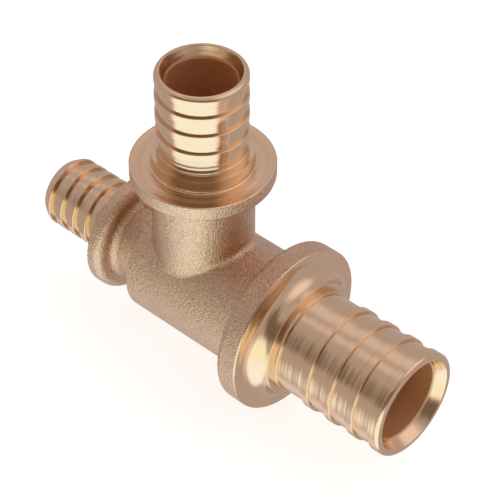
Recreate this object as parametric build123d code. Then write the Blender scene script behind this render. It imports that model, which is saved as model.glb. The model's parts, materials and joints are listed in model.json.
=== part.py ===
from build123d import *
import os
from math import cos, radians, sin, tan

# Reducing tee for plastic pipe: one brass casting with three machined spigots.
# The run lies along X, the large spigot at +X and the small one at -X.
# The branch stands along +Z, and the origin is where the two axes meet.
# Each arm is a cast neck, a flange that stops the sleeve, a turned hub and
# a spigot with raised lands that grip the bore of the pipe.
# All sizes are in millimetres.

# Each arm's hub stands one step out from its spigot, and the flange one more from the hub.
# The hub's length is its face fillet and the straight land beyond it.

# Cast body between the three flanges: the barrel stands one step out from the branch's neck
barrel_step = 2.3
shoulder_clearance = 0.15
shoulder_round = 0.6
shoulder_crossing = 0.05
saddle_fillet = 1.2
spare_length = 5.0

# Lands and grooves, the same on all three spigots
land_count = 4
land_width = 1.7
land_edge_break = 0.1
mouth_depth = 2.4

# Large spigot, at +X
large_spigot_diameter = 22.1
large_bore_diameter = 16.7
large_rim_width = 1.4
large_flange_thickness = 4.9
large_back_round = 0.95
large_rim_round = 0.4
large_face_distance = 23.95
large_flange_step = 5.22
large_face_fillet = 3.5
large_hub_step = 1.15
large_hub_land = 0.2
large_ring_length = 1.2
large_first_land = 10.98
large_land_pitch = 5.49
large_tip_land = 2.55
large_groove_depth = 0.5
large_tip_round = 0.7

# Branch spigot, at +Z
branch_spigot_diameter = 17.9
branch_bore_diameter = 13.7
branch_rim_width = 1.1
branch_neck_diameter = 20.15
branch_flange_thickness = 3.4
branch_back_round = 0.9
branch_rim_round = 0.15
branch_face_distance = 29.7
branch_flange_step = 4.28
branch_face_fillet = 0.4
branch_hub_step = 0.97
branch_hub_land = 2.45
branch_ring_length = 1.25
branch_first_land = 6.78
branch_land_pitch = 4.28
branch_tip_land = 1.85
branch_groove_depth = 0.5
branch_tip_round = 0.9

# Small spigot, at -X
small_spigot_diameter = 15.0
small_bore_diameter = 10.8
small_rim_width = 1.45
small_neck_diameter = 16.8
small_flange_thickness = 3.3
small_back_round = 1.6
small_rim_round = 0.3
small_back_fillet = 1.4
small_face_distance = 20.95
small_flange_step = 4.2
small_face_fillet = 0.4
small_hub_step = 0.85
small_hub_land = 2.0
small_ring_length = 1.2
small_first_land = 5.77
small_land_pitch = 3.46
small_tip_land = 2.4
small_groove_depth = 0.7
small_tip_round = 0.3
small_tip_taper = 1.75
small_tip_drop = 1.1

# Where the run's two bores meet: a short cone past the branch bore
bore_step_clearance = 0.6
bore_step_angle = 59.0


def spigot_length(first_land, land_pitch, tip_land):
    """Length of a spigot from its flange face to its tip."""
    return first_land + (land_count - 1) * land_pitch + tip_land


def corners_at(profile, places):
    """The profile's corners nearest to the places, given as (radius, height)."""
    chosen = []
    for place_radius, height in places:
        here = Vector(place_radius, 0, height)
        chosen.append(min(profile.vertices(), key=lambda v: (Vector(v) - here).length))
    return ShapeList(chosen)


def rounded(profile, radius, *places):
    """The profile with a round of that radius at each place."""
    return fillet(corners_at(profile, places), radius)


def broken(profile, length, *places):
    """The profile with a small chamfer at each place, as a tool leaves on a sharp edge."""
    return chamfer(corners_at(profile, places), length)


def arm(spigot_diameter, neck_diameter, flange_thickness, back_round, rim_round, back_fillet,
        face_distance, flange_step, face_fillet, hub_step, hub_land, ring_length, groove_depth,
        tip_round, tip_taper, tip_drop, first_land, land_pitch, tip_land):
    """One arm as a turned solid along +Z, from its neck or else its flange to the tip of its spigot."""
    land = spigot_diameter / 2
    groove = land - groove_depth
    neck = neck_diameter / 2
    hub = land + hub_step
    rim = hub + flange_step
    back = face_distance - flange_thickness
    hub_top = face_distance + face_fillet + hub_land
    ring_top = hub_top + ring_length
    tip = face_distance + spigot_length(first_land, land_pitch, tip_land)

    points = [(0, 0), (neck, 0), (neck, back)] if neck else [(0, back)]
    points += [(rim, back), (rim, face_distance)]
    points += [(hub, face_distance), (hub, hub_top), (land, hub_top), (land, ring_top), (groove, ring_top)]
    land_edges = [(hub, hub_top), (land, ring_top)]
    for index in range(land_count):
        start = face_distance + first_land + index * land_pitch
        points += [(groove, start), (land, start)]
        land_edges.append((land, start))
        if index < land_count - 1:
            end = start + land_width
            points += [(land, end), (groove, end)]
            land_edges.append((land, end))
    nose = [(land, tip - tip_taper), (land - tip_drop, tip)] if tip_drop else [(land, tip)]
    points += [*nose, (0, tip)]

    profile = make_face(Polyline(*[(radius, 0, height) for radius, height in points], close=True))
    profile = broken(profile, land_edge_break, *land_edges)
    profile = rounded(profile, tip_round, *nose)
    profile = rounded(profile, rim_round, (rim, face_distance))
    profile = rounded(profile, back_round, (rim, back))
    profile = rounded(profile, face_fillet, (hub, face_distance))
    if back_fillet:
        profile = rounded(profile, back_fillet, (neck, back))
    return revolve(profile, Axis.Z)


def bore(spigot_diameter, bore_diameter, rim_width, face_distance, first_land, land_pitch, tip_land):
    """The bore of one arm along +Z, from the origin, with a countersunk mouth at the tip."""
    radius = bore_diameter / 2
    mouth = spigot_diameter / 2 - rim_width
    tip = face_distance + spigot_length(first_land, land_pitch, tip_land)
    points = [(0, 0), (radius, 0), (radius, tip - mouth_depth), (mouth, tip), (0, tip)]
    return revolve(make_face(Polyline(*[(r, 0, z) for r, z in points], close=True)), Axis.Z)


def cast_body():
    """The run's barrel with the foot of the branch blended on to it and its shoulder at -X."""
    barrel = branch_neck_diameter / 2 + barrel_step
    shoulder_distance = branch_neck_diameter / 2 + shoulder_clearance
    right_end = large_face_distance - large_flange_thickness / 2
    left_end = shoulder_distance + spare_length
    run = Cylinder(barrel, left_end + right_end, rotation=(0, 90, 0))
    run = Pos((right_end - left_end) / 2, 0, 0) * run
    foot_height = branch_face_distance - branch_flange_thickness / 2
    foot = Pos(0, 0, foot_height / 2) * Cylinder(branch_neck_diameter / 2, foot_height)
    joined = run + foot
    seam = [edge for edge in joined.edges() if edge.geom_type not in (GeomType.CIRCLE, GeomType.LINE)]
    blended = fillet(seam, saddle_fillet)

    # the spare length beyond the rounded shoulder is turned away; the round crosses the barrel
    # at a slant, as one that only touches it makes a cut that fails
    reach = barrel + spare_length
    outer = barrel + shoulder_crossing
    flat = outer - shoulder_round
    shoulder_start = shoulder_distance - shoulder_round
    diagonal = radians(45)
    arc_middle = (flat + shoulder_round * cos(diagonal), 0, shoulder_start + shoulder_round * sin(diagonal))
    arc = ThreePointArc((flat, 0, shoulder_distance), arc_middle, (outer, 0, shoulder_start))
    edges = Polyline(
        (outer, 0, shoulder_start),
        (reach, 0, shoulder_start),
        (reach, 0, left_end + spare_length),
        (0, 0, left_end + spare_length),
        (0, 0, shoulder_distance),
        (flat, 0, shoulder_distance),
    )
    waste = revolve(make_face(arc + edges), Axis.Z)
    return blended - Rot(0, -90, 0) * waste


large_spigot = (large_first_land, large_land_pitch, large_tip_land)
branch_spigot = (branch_first_land, branch_land_pitch, branch_tip_land)
small_spigot = (small_first_land, small_land_pitch, small_tip_land)

large_arm = arm(
    large_spigot_diameter, 0, large_flange_thickness, large_back_round, large_rim_round, 0,
    large_face_distance, large_flange_step, large_face_fillet, large_hub_step, large_hub_land,
    large_ring_length, large_groove_depth, large_tip_round, 0, 0, *large_spigot,
)
branch_arm = arm(
    branch_spigot_diameter, branch_neck_diameter, branch_flange_thickness, branch_back_round,
    branch_rim_round, 0, branch_face_distance, branch_flange_step, branch_face_fillet, branch_hub_step,
    branch_hub_land, branch_ring_length, branch_groove_depth, branch_tip_round, 0, 0, *branch_spigot,
)
small_arm = arm(
    small_spigot_diameter, small_neck_diameter, small_flange_thickness, small_back_round, small_rim_round,
    small_back_fillet, small_face_distance, small_flange_step, small_face_fillet, small_hub_step,
    small_hub_land, small_ring_length, small_groove_depth, small_tip_round, small_tip_taper,
    small_tip_drop, *small_spigot,
)

large_bore = bore(
    large_spigot_diameter, large_bore_diameter, large_rim_width, large_face_distance, *large_spigot,
)
branch_bore = bore(
    branch_spigot_diameter, branch_bore_diameter, branch_rim_width, branch_face_distance, *branch_spigot,
)
small_bore = bore(
    small_spigot_diameter, small_bore_diameter, small_rim_width, small_face_distance, *small_spigot,
)

# the large bore is drilled on past the branch and ends in the cone of the drill
step_start = branch_bore_diameter / 2 + bore_step_clearance
step_length = (large_bore_diameter - small_bore_diameter) / 2 / tan(radians(bore_step_angle))
step_points = [
    (0, 0), (large_bore_diameter / 2, 0), (large_bore_diameter / 2, step_start),
    (small_bore_diameter / 2, step_start + step_length), (0, step_start + step_length),
]
bore_step = revolve(make_face(Polyline(*[(r, 0, z) for r, z in step_points], close=True)), Axis.Z)

tee = cast_body() + Rot(0, 90, 0) * large_arm + branch_arm + Rot(0, -90, 0) * small_arm
tee = tee - Rot(0, 90, 0) * large_bore - branch_bore - Rot(0, -90, 0) * small_bore
tee = tee - Rot(0, -90, 0) * bore_step

os.makedirs("parts", exist_ok=True)
export_step(tee, "parts/tee_body.step")
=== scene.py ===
"""Brass reducing tee for plastic pipe: its cast and turned finish, and the studio it stands in.

Everything is in metres. +X runs along the large spigot, +Z up the branch, and the origin is
where the two axes meet. Angles round the tee are counted from -Y, and +X is at 90 degrees.
"""

import json
import math

import bpy
from bpy.props import FloatProperty, FloatVectorProperty, PointerProperty
from mathutils import Matrix, Vector


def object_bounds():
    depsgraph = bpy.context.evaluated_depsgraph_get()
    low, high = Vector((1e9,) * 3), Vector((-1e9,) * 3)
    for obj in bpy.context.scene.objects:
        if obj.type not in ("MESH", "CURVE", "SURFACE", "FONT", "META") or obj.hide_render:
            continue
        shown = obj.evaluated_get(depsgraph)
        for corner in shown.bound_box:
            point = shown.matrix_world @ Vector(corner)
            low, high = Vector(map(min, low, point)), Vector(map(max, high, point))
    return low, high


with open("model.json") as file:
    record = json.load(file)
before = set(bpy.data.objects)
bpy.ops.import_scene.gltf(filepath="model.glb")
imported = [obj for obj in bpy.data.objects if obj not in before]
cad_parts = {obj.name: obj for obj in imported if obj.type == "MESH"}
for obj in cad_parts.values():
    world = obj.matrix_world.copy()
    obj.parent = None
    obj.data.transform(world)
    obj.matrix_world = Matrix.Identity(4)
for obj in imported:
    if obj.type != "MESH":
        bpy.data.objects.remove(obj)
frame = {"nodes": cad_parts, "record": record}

bl_info = {
    "name": "Brass Reducing Tee",
    "version": (1, 0, 0),
    "blender": (4, 5, 0),
    "location": "3D View > Sidebar > Tee",
    "description": "Finishes a cast brass reducing tee and sets up its studio",
    "category": "Object",
}

MM = 0.001
CAD_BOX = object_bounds()
TEE = frame["nodes"]["tee_body"]


def mount(name):
    """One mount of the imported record."""
    return next(m for m in frame["record"]["mounts"] if m["name"] == name)


# Where the turned faces of the three flanges stand, along their own arms
LARGE_FACE = mount("large_flange_face")["pos_m"][0]
BRANCH_FACE = mount("branch_flange_face")["pos_m"][2]
SMALL_FACE = -mount("small_flange_face")["pos_m"][0]

# Radii of the three bores
LARGE_BORE, BRANCH_BORE, SMALL_BORE = (
    mount(name + "_bore")["dims"]["r_mm"] * MM for name in ("large", "branch", "small")
)

# The cast skin gives way to a cut face over this width
EDGE = 0.12 * MM

# The small bore begins past the cone of the drill: shares of the way to the small flange's face
SMALL_BORE_START = (0.45, 0.46)

# The seam runs inside these radii about the run, clear of the flanges, and outside these radii
# about the branch, clear of its foot
SEAM_INSIDE = (12.9 * MM, 12.7 * MM)
SEAM_OUTSIDE = (10.6 * MM, 11.2 * MM)

# Above these heights the tool's marks run round the branch, and below them round the run
BRANCH_ARM = (BRANCH_FACE - 6 * MM, BRANCH_FACE - 5.9 * MM)

# Beyond these radii a cut surface is a flange's face
RUN_FLANGE = (15 * MM, 15.1 * MM)
BRANCH_FLANGE = (10.5 * MM, 10.6 * MM)

# The cast skin: fine grains across one grain, what each adds to the relief, the levels of the
# grain between which painted shade darkens its pits, the levels of the noise where a blotch begins
# and ends, how bright a dark blotch is and how much rougher the fine grains can make the skin
FINE_GRAINS = 2.3
GRAIN_SHARE, FINE_SHARE = 0.65, 0.35
PIT_SHADE_LEVELS = (0.5, 0.34)
BLOTCH_LEVELS = (0.35, 0.65)
BLOTCH_SHADE = 0.94
ROUGHNESS_SPREAD = 0.12

# The cut faces: broad marks across one feed, what the fine and the broad marks add to the slope,
# how much weaker the marks are in a bore and how bright a broad mark's dark side is
BROAD_MARKS = 0.22
FINE_MARK_SHARE, BROAD_MARK_SHARE = 0.7, 0.5
BORE_LOSS = 0.5
BROAD_MARK_SHADE = 0.95

# The floor lies this much below the tee
FLOOR_GAP = 0.05 * MM

# The room, in degrees. The low front panel: azimuth, elevation, radius and softness, and the
# heights between which it turns into its warm top
FRONT_PANEL = (25, -37, 45, 6)
PANEL_TOP = (-37, -24)

# The dark side: its limits round the tee and in height, each pair with its softness
DARK_TURN = (-32, 78, 14)
DARK_HEIGHT = (12, 50, 8)

# The soft patches: azimuth, elevation, radius and softness, then the level of their light
PATCHES = (
    (-70, -64, 14, 8, 0.9),
    (-140, 54, 13, 7, 0.8),
    (86, -36, 15, 10, 0.95),
    (-82, 64, 8, 5, 0.8),
    (138, 50, 26, 12, 1.0),
)


# ---------------------------------------------------------------- properties


class CastingProperties(bpy.types.PropertyGroup):
    """The sand-blasted skin of the casting and the seam its two moulds left."""

    colour: FloatVectorProperty(
        name="Colour", description="Colour of the bare casting", subtype="COLOR", size=3, min=0, max=1,
        default=(0.82, 0.564, 0.39),
    )
    # The colour below is painted shade, laid into the skin's pits where its relief is lowest
    pit_shade_colour: FloatVectorProperty(
        name="Pit colour", description="Colour of the skin's small pits", subtype="COLOR", size=3,
        min=0, max=1, default=(0.47, 0.33, 0.235),
    )
    grain: FloatProperty(
        name="Grain", description="Width of one grain of the blasted skin", default=0.30 * MM, unit="LENGTH",
    )
    grain_depth: FloatProperty(
        name="Grain depth", description="Depth of the blasted grains", default=0.21 * MM, unit="LENGTH",
    )
    blotch: FloatProperty(
        name="Blotch", description="Width of the skin's faint blotches", default=1 / 90, unit="LENGTH",
    )
    # How fully the painted shade darkens the pits
    pit_shade_cover: FloatProperty(
        name="Pit cover", description="How fully the pits take their colour", default=0.6, min=0, max=1,
        subtype="FACTOR",
    )
    roughness: FloatProperty(
        name="Roughness", description="Roughness of the skin", default=0.22, min=0, max=1, subtype="FACTOR",
    )
    seam_width: FloatProperty(
        name="Seam width", description="Width of the seam between the two moulds", default=0.35 * MM,
        unit="LENGTH",
    )


class TurningProperties(bpy.types.PropertyGroup):
    """The surfaces cut on the lathe: spigots, flange faces and bores."""

    colour: FloatVectorProperty(
        name="Colour", description="Colour of the freshly cut brass", subtype="COLOR", size=3, min=0, max=1,
        default=(0.84, 0.605, 0.41),
    )
    feed: FloatProperty(
        name="Feed", description="Distance between two marks of the cutting tool", default=0.16 * MM,
        unit="LENGTH",
    )
    roughness: FloatProperty(
        name="Roughness", description="Roughness of the cut", default=0.17, min=0, max=1, subtype="FACTOR",
    )
    mark_slope: FloatProperty(
        name="Mark slope", description="Slope of the cutting tool's marks", default=math.radians(25),
        subtype="ANGLE",
    )
    face_slope: FloatProperty(
        name="Face slope", description="Share of their slope that the marks gain on a flange's face",
        default=2.0, min=0,
    )
    bore_colour: FloatVectorProperty(
        name="Bore colour", description="Colour of the drilled bores", subtype="COLOR", size=3, min=0, max=1,
        default=(0.94, 0.63, 0.39),
    )
    bore_roughness: FloatProperty(
        name="Bore roughness", description="Roughness of the drilled bores", default=0.6, min=0, max=1,
        subtype="FACTOR",
    )


class StudioProperties(bpy.types.PropertyGroup):
    """The camera, the floor and the light of the room round the tee."""

    azimuth: FloatProperty(
        name="Azimuth", description="Turn of the camera about the branch", default=math.radians(42.057),
        subtype="ANGLE",
    )
    elevation: FloatProperty(
        name="Elevation", description="Height angle of the camera", default=math.radians(42.352),
        subtype="ANGLE",
    )
    roll: FloatProperty(
        name="Roll", description="Tilt of the camera", default=math.radians(0.204), subtype="ANGLE",
    )
    distance: FloatProperty(
        name="Distance", description="Distance from the camera to its target", default=420.4 * MM,
        unit="LENGTH",
    )
    offset: FloatVectorProperty(
        name="Offset", description="Target's shift to the right and up in the picture", size=2,
        default=(9.055 * MM, 4.785 * MM), unit="LENGTH",
    )
    lens: FloatProperty(
        name="Lens", description="Focal length in millimetres", default=151.16, unit="CAMERA",
    )
    floor_size: FloatProperty(
        name="Floor", description="Length of a side of the floor", default=3.0, unit="LENGTH",
    )
    floor_colour: FloatVectorProperty(
        name="Floor colour", description="Colour of the floor", subtype="COLOR", size=3, min=0, max=1,
        default=(0.80, 0.80, 0.80),
    )
    floor_glow: FloatProperty(
        name="Floor glow", description="What is added to the floor for the camera to see it white",
        default=0.70, min=0, max=1, subtype="FACTOR",
    )
    room_colour: FloatVectorProperty(
        name="Room colour", description="Colour of the room's own light", subtype="COLOR", size=3,
        min=0, max=1, default=(1.0, 0.91, 0.90),
    )
    room_level: FloatProperty(
        name="Room level", description="Light of the room away from its panel and patches", default=0.52,
    )
    panel_colour: FloatVectorProperty(
        name="Panel colour", description="Colour of the low front panel", subtype="COLOR", size=3,
        min=0, max=1, default=(0.80, 0.93, 0.97),
    )
    panel_top_colour: FloatVectorProperty(
        name="Panel top colour", description="Colour of the front panel's warm top", subtype="COLOR",
        size=3, min=0, max=1, default=(0.80, 0.9021, 0.776),
    )
    panel_level: FloatProperty(name="Panel level", description="Light of the low front panel", default=1.5)
    dark_colour: FloatVectorProperty(
        name="Dark colour", description="Colour of the dark side above the front panel", subtype="COLOR",
        size=3, min=0, max=1, default=(1.0, 0.78, 0.62),
    )
    dark_level: FloatProperty(
        name="Dark level", description="Light of the dark side above the front panel", default=0.2,
    )


# ---------------------------------------------------------------- shader maths


class Value:
    """A socket of a material or of the world. Sums written with it add Math nodes."""

    def __init__(self, tree, socket):
        self.tree = tree
        self.socket = socket

    def node(self, kind, settings=None, inputs=None, output=0):
        """Any node: its settings are set first, then the values or links of its sockets."""
        made = self.tree.nodes.new(kind)
        for name, value in (settings or {}).items():
            setattr(made, name, value)
        for name, value in (inputs or {}).items():
            if isinstance(value, Value):
                self.tree.links.new(value.socket, made.inputs[name])
            else:
                made.inputs[name].default_value = value
        return Value(self.tree, made.outputs[output])

    def maths(self, operation, *others):
        return self.node("ShaderNodeMath", {"operation": operation}, dict(enumerate((self, *others))))

    def vector(self, operation, *others):
        inputs = dict(enumerate((self, *others)))
        return self.node("ShaderNodeVectorMath", {"operation": operation}, inputs, "Vector")

    def coordinate(self, axis):
        return self.node("ShaderNodeSeparateXYZ", inputs={0: self}, output=axis)

    def numbers(self, first, second):
        """The first number where this value is 0 and the second where it is 1."""
        return self.node("ShaderNodeMix", {"data_type": "FLOAT"}, {0: self, 2: first, 3: second})

    def colours(self, first, second):
        """The first colour where this value is 0 and the second where it is 1."""
        return self.node("ShaderNodeMix", {"data_type": "RGBA"}, {0: self, 6: first, 7: second}, 2)

    def vectors(self, first, second):
        """The first vector where this value is 0 and the second where it is 1."""
        return self.node("ShaderNodeMix", {"data_type": "VECTOR"}, {0: self, 4: first, 5: second}, 1)

    def __add__(self, other):
        return self.maths("ADD", other)

    __radd__ = __add__

    def __mul__(self, other):
        return self.maths("MULTIPLY", other)

    __rmul__ = __mul__

    def __sub__(self, other):
        return self.maths("SUBTRACT", other)

    def __rsub__(self, other):
        return self.node("ShaderNodeMath", {"operation": "SUBTRACT"}, {0: other, 1: self})

    def __neg__(self):
        return self * -1.0

    def __abs__(self):
        return self.maths("ABSOLUTE")

    def larger(self, other):
        return self.maths("MAXIMUM", other)

    def ramp(self, start, end, low=0.0, high=1.0):
        """Rises smoothly from low at start to high at end."""
        return self.node(
            "ShaderNodeMapRange", {"interpolation_type": "SMOOTHSTEP", "clamp": True},
            {"Value": self, "From Min": start, "From Max": end, "To Min": low, "To Max": high},
        )

    def noise(self, scale, detail=0.0, roughness=0.5):
        """Noise over this vector, from 0 to 1."""
        return self.node(
            "ShaderNodeTexNoise", {"noise_dimensions": "3D"},
            {"Vector": self, "Scale": scale, "Detail": detail, "Roughness": roughness},
        )


def new_material(name):
    """A new material, its node tree and its Principled shader."""
    material = bpy.data.materials.new(name)
    material.use_nodes = True
    tree = material.node_tree
    return material, tree, tree.nodes["Principled BSDF"]


def radius_about(first, second):
    """Distance from an axis, from the two coordinates across it."""
    return (first * first + second * second).maths("SQRT")


def shade(colour, level=1.0):
    """A colour at a level of its brightness, as a shader takes it."""
    return (*[channel * level for channel in colour], 1)


class Point:
    """A point of the tee's surface: its coordinates and its distances from the two axes."""

    def __init__(self, tree):
        self.place = Value(tree, None).node("ShaderNodeTexCoord", output="Object")
        self.x, self.y, self.z = (self.place.coordinate(axis) for axis in "XYZ")
        self.from_run = radius_about(self.y, self.z)
        self.from_branch = radius_about(self.x, self.y)


def finish_masks(point):
    """Two values: 1 where the lathe or the drill has cut, and 1 in the bores alone."""
    large_turned = point.x.ramp(LARGE_FACE - 3 * EDGE, LARGE_FACE - 2 * EDGE)
    small_turned = (-point.x).ramp(SMALL_FACE - 3 * EDGE, SMALL_FACE - 2 * EDGE)
    branch_turned = point.z.ramp(BRANCH_FACE - 2 * EDGE, BRANCH_FACE - EDGE)
    in_small_bore = (-point.x).ramp(*[share * SMALL_FACE for share in SMALL_BORE_START])
    run_bore = (point.from_run - in_small_bore.numbers(LARGE_BORE, SMALL_BORE)).ramp(2 * EDGE, EDGE)
    branch_bore = (point.from_branch - BRANCH_BORE).ramp(2 * EDGE, EDGE) * point.z.ramp(0, EDGE)
    bored = run_bore.larger(branch_bore)
    return large_turned.larger(small_turned).larger(branch_turned).larger(bored), bored


def cast_skin(casting, point):
    """Colour, roughness and normal of the blasted casting, with painted shade in its pits and the seam left
    by its two moulds.
    """
    grain = point.place.noise(1 / casting.grain)
    fine = point.place.noise(FINE_GRAINS / casting.grain)
    on_barrel = point.from_run.ramp(*SEAM_INSIDE) * point.from_branch.ramp(*SEAM_OUTSIDE)
    seam = abs(point.y).ramp(0.0, casting.seam_width / 2, 1.0, 0.0) * on_barrel
    relief = grain * GRAIN_SHARE + fine * FINE_SHARE + seam
    normal = relief.node(
        "ShaderNodeBump", inputs={"Strength": 1.0, "Distance": casting.grain_depth, "Height": relief},
        output="Normal",
    )
    blotch = point.place.noise(1 / casting.blotch, detail=3.0).ramp(*BLOTCH_LEVELS)
    colour = blotch.colours(shade(casting.colour, BLOTCH_SHADE), shade(casting.colour))
    # Painted shade: where the grain's relief is lowest, in its pits, the skin darkens towards the pit colour
    pits = grain.ramp(*PIT_SHADE_LEVELS) * casting.pit_shade_cover
    colour = pits.colours(colour, shade(casting.pit_shade_colour))
    return colour, fine * ROUGHNESS_SPREAD + casting.roughness, normal


def turned_cut(turning, point, bored):
    """Colour, roughness and normal of the cut brass, with the tool's marks round each arm."""
    # the marks vary only along their arm, and out from its axis on a face
    on_branch = point.z.ramp(*BRANCH_ARM)
    on_run = 1.0 - on_branch
    along = point.x * on_run + point.z * on_branch
    out = point.from_run * on_run + point.from_branch * on_branch
    marks_at = along.node("ShaderNodeCombineXYZ", inputs={"X": along, "Y": out})
    fine_marks = marks_at.noise(1 / turning.feed, detail=2.0, roughness=0.7)
    broad_marks = marks_at.noise(BROAD_MARKS / turning.feed, detail=1.0)
    marks = (fine_marks - 0.5) * FINE_MARK_SHARE + (broad_marks - 0.5) * BROAD_MARK_SHARE
    on_run_flange = point.from_run.ramp(*RUN_FLANGE) * on_run
    on_face = on_run_flange.larger(point.from_branch.ramp(*BRANCH_FLANGE) * on_branch)
    steepness = on_face * turning.face_slope - bored * BORE_LOSS + 1.0
    slope = marks * math.tan(turning.mark_slope) * steepness

    # they tilt the surface's normal at a right angle to the way round the arm
    outward = point.place.node("ShaderNodeTexCoord", output="Normal")
    round_run = outward.node("ShaderNodeCombineXYZ", inputs={"X": 0.0, "Y": -point.z, "Z": point.y})
    round_branch = outward.node("ShaderNodeCombineXYZ", inputs={"X": -point.y, "Y": point.x, "Z": 0.0})
    round_arm = on_branch.vectors(round_run, round_branch)
    lengthwise = round_arm.vector("CROSS_PRODUCT", outward).vector("NORMALIZE")
    tilt = lengthwise.node("ShaderNodeVectorMath", {"operation": "SCALE"}, {0: lengthwise, 3: slope})
    tilted = outward.vector("ADD", tilt)
    to_world = {"vector_type": "NORMAL", "convert_from": "OBJECT", "convert_to": "WORLD"}
    normal = tilted.node("ShaderNodeVectorTransform", to_world, {0: tilted}).vector("NORMALIZE")

    colour = broad_marks.colours(shade(turning.colour, BROAD_MARK_SHADE), shade(turning.colour))
    colour = bored.colours(colour, shade(turning.bore_colour))
    roughness = bored * (turning.bore_roughness - turning.roughness) + turning.roughness
    return colour, roughness, normal


def brass_material():
    """Blasted casting and cut faces in one material, told apart by where they lie on the tee."""
    material, tree, shader = new_material("Cast and turned brass")
    scene = bpy.context.scene
    point = Point(tree)
    turned, bored = finish_masks(point)
    cast_colour, cast_roughness, cast_normal = cast_skin(scene.tee_casting, point)
    cut_colour, cut_roughness, cut_normal = turned_cut(scene.tee_turning, point, bored)
    shader.inputs["Metallic"].default_value = 1.0
    tree.links.new(turned.colours(cast_colour, cut_colour).socket, shader.inputs["Base Color"])
    tree.links.new(turned.numbers(cast_roughness, cut_roughness).socket, shader.inputs["Roughness"])
    tree.links.new(turned.vectors(cast_normal, cut_normal).socket, shader.inputs["Normal"])
    return material


# ---------------------------------------------------------------- operators


def direction(azimuth, elevation):
    """The unit vector towards an azimuth and an elevation, in radians."""
    level = math.cos(elevation)
    return math.sin(azimuth) * level, -math.cos(azimuth) * level, math.sin(elevation)


class TEE_OT_finish(bpy.types.Operator):
    """Give the casting its blasted skin and the turned faces their bright cut"""

    bl_idname = "tee.finish"
    bl_label = "Finish the tee"

    def execute(self, context):
        TEE.data.materials.clear()
        TEE.data.materials.append(brass_material())
        return {"FINISHED"}


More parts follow.
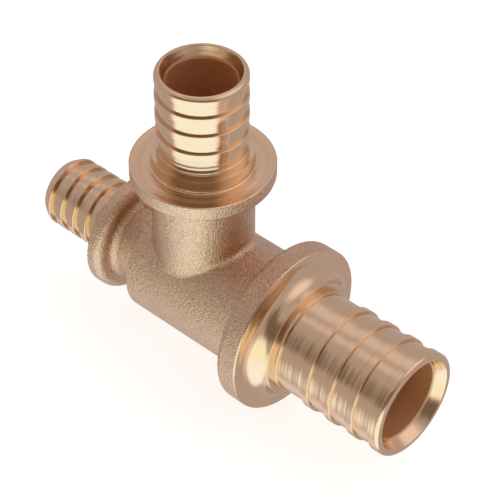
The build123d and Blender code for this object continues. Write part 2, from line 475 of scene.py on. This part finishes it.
class TEE_OT_stage(bpy.types.Operator):
    """Set up the camera, the white floor and the light of the room"""

    bl_idname = "tee.stage"
    bl_label = "Set up the studio"

    def execute(self, context):
        studio = context.scene.tee_studio
        context.scene.view_settings.view_transform = "Standard"
        self.add_camera(context, studio)
        self.add_floor(studio)
        self.light_room(context, studio)
        return {"FINISHED"}

    def add_camera(self, context, studio):
        back = Vector(direction(studio.azimuth, studio.elevation))
        level = Vector((math.cos(studio.azimuth), math.sin(studio.azimuth), 0))
        upright = back.cross(level)
        right = level * math.cos(studio.roll) + upright * math.sin(studio.roll)
        up = upright * math.cos(studio.roll) - level * math.sin(studio.roll)
        place = right * studio.offset[0] + up * studio.offset[1] + back * studio.distance
        bpy.ops.object.camera_add(location=place, rotation=Matrix((right, up, back)).transposed().to_euler())
        camera = context.object
        camera.data.sensor_width = 36
        camera.data.lens = studio.lens
        camera.data.clip_start = 0.01
        context.scene.camera = camera

    def add_floor(self, studio):
        """A white floor that keeps a shadow. Reflections pass it by and show the room behind it."""
        underside = CAD_BOX[0][2]
        bpy.ops.mesh.primitive_plane_add(size=studio.floor_size, location=(0, 0, underside - FLOOR_GAP))
        floor = bpy.context.object
        floor.name = "floor"
        floor.visible_glossy = False
        material, tree, shader = new_material("White floor")
        shader.inputs["Base Color"].default_value = shade(studio.floor_colour)
        shader.inputs["Roughness"].default_value = 1.0
        shader.inputs["Specular IOR Level"].default_value = 0.0
        path = tree.nodes.new("ShaderNodeLightPath")
        seen = Value(tree, path.outputs["Is Camera Ray"])
        seen = seen.larger(Value(tree, path.outputs["Is Glossy Ray"]))
        seen = seen.larger(Value(tree, path.outputs["Is Transmission Ray"]))
        glow = seen.node("ShaderNodeEmission", inputs={"Strength": seen * studio.floor_glow})
        both = seen.node("ShaderNodeAddShader", inputs={0: Value(tree, shader.outputs[0]), 1: glow})
        tree.links.new(both.socket, tree.nodes["Material Output"].inputs["Surface"])
        floor.data.materials.append(material)

    def light_room(self, context, studio):
        """The world: an even room with a large low panel in front, a dark side above it and soft patches."""
        world = context.scene.world or bpy.data.worlds.new("studio")
        context.scene.world = world
        world.use_nodes = True
        tree = world.node_tree
        toward = Value(tree, None).node("ShaderNodeTexCoord", output="Generated")
        x, y, z = (toward.coordinate(axis) for axis in "XYZ")
        height = z.maths("ARCSINE")
        turn = x.maths("ARCTAN2", -y)

        def spot(azimuth, elevation, radius, soft):
            """1 within a round patch of the room and 0 outside it, all in degrees."""
            inputs = {0: toward, 1: direction(math.radians(azimuth), math.radians(elevation))}
            away = toward.node("ShaderNodeVectorMath", {"operation": "DOT_PRODUCT"}, inputs, "Value")
            return away.maths("ARCCOSINE").ramp(math.radians(radius + soft), math.radians(radius - soft))

        def band(value, low, high, soft):
            """1 between two angles and 0 outside them, all in degrees."""
            rise = value.ramp(math.radians(low - soft), math.radians(low + soft))
            return rise * value.ramp(math.radians(high - soft), math.radians(high + soft), 1.0, 0.0)

        front = spot(*FRONT_PANEL)
        dark = band(turn, *DARK_TURN) * band(height, *DARK_HEIGHT)
        level = dark.numbers(studio.room_level, studio.dark_level)
        for *patch, patch_level in PATCHES:
            level = spot(*patch).numbers(level, patch_level)
        level = front.numbers(level, studio.panel_level)

        top = height.ramp(*[math.radians(angle) for angle in PANEL_TOP])
        panel = top.colours(shade(studio.panel_colour), shade(studio.panel_top_colour))
        colour = front.colours(shade(studio.room_colour), panel)
        colour = dark.colours(colour, shade(studio.dark_colour))
        background = tree.nodes["Background"]
        tree.links.new(colour.socket, background.inputs["Color"])
        tree.links.new(level.socket, background.inputs["Strength"])


class TEE_PT_panel(bpy.types.Panel):
    """Lists the parts of the tee and its studio"""

    bl_idname = "TEE_PT_panel"
    bl_label = "Brass Reducing Tee"
    bl_space_type = "VIEW_3D"
    bl_region_type = "UI"
    bl_category = "Tee"

    def draw(self, context):
        scene = context.scene
        for group, operator in (
            (scene.tee_casting, None),
            (scene.tee_turning, "tee.finish"),
            (scene.tee_studio, "tee.stage"),
        ):
            box = self.layout.box()
            for name in group.__annotations__:
                box.prop(group, name)
            if operator:
                box.operator(operator)


CLASSES = (
    CastingProperties, TurningProperties, StudioProperties, TEE_OT_finish, TEE_OT_stage, TEE_PT_panel,
)


def register():
    for cls in CLASSES:
        bpy.utils.register_class(cls)
    bpy.types.Scene.tee_casting = PointerProperty(type=CastingProperties)
    bpy.types.Scene.tee_turning = PointerProperty(type=TurningProperties)
    bpy.types.Scene.tee_studio = PointerProperty(type=StudioProperties)


def unregister():
    del bpy.types.Scene.tee_casting
    del bpy.types.Scene.tee_turning
    del bpy.types.Scene.tee_studio
    for cls in reversed(CLASSES):
        bpy.utils.unregister_class(cls)


def main():
    register()
    bpy.ops.tee.finish()
    bpy.ops.tee.stage()


if __name__ == "__main__":
    main()
